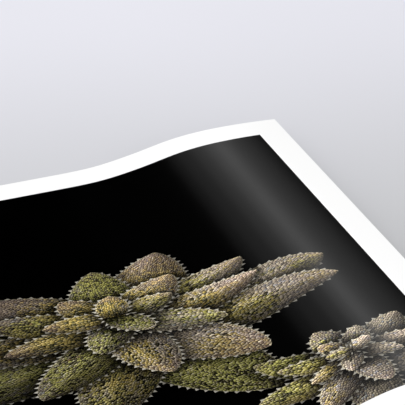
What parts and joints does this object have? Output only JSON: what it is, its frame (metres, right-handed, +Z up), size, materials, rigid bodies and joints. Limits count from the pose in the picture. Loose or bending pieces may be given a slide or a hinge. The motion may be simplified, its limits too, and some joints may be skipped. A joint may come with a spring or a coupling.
{
  "type": "photographic print",
  "caption": "Bordered photographic print on heavy pearl paper, lying flat with one end curled up in a low S-bend.",
  "frame": {"origin": "on the surface the print lies on, below the middle of the sheet", "axes": "+X along the sheet towards the curled end, +Y towards the picture's top edge, +Z up out of the picture"},
  "size_m": [0.419, 0.297, 0.0129],
  "materials": {
    "paper": "bright white resin-coated pearl paper, satin face, plain matt back",
    "picture": "printed picture, mostly black with olive, mustard and grey leaves, satin pearl"
  },
  "bodies": {
    "root": {"sheet": "paper"}
  },
  "joints": []
}
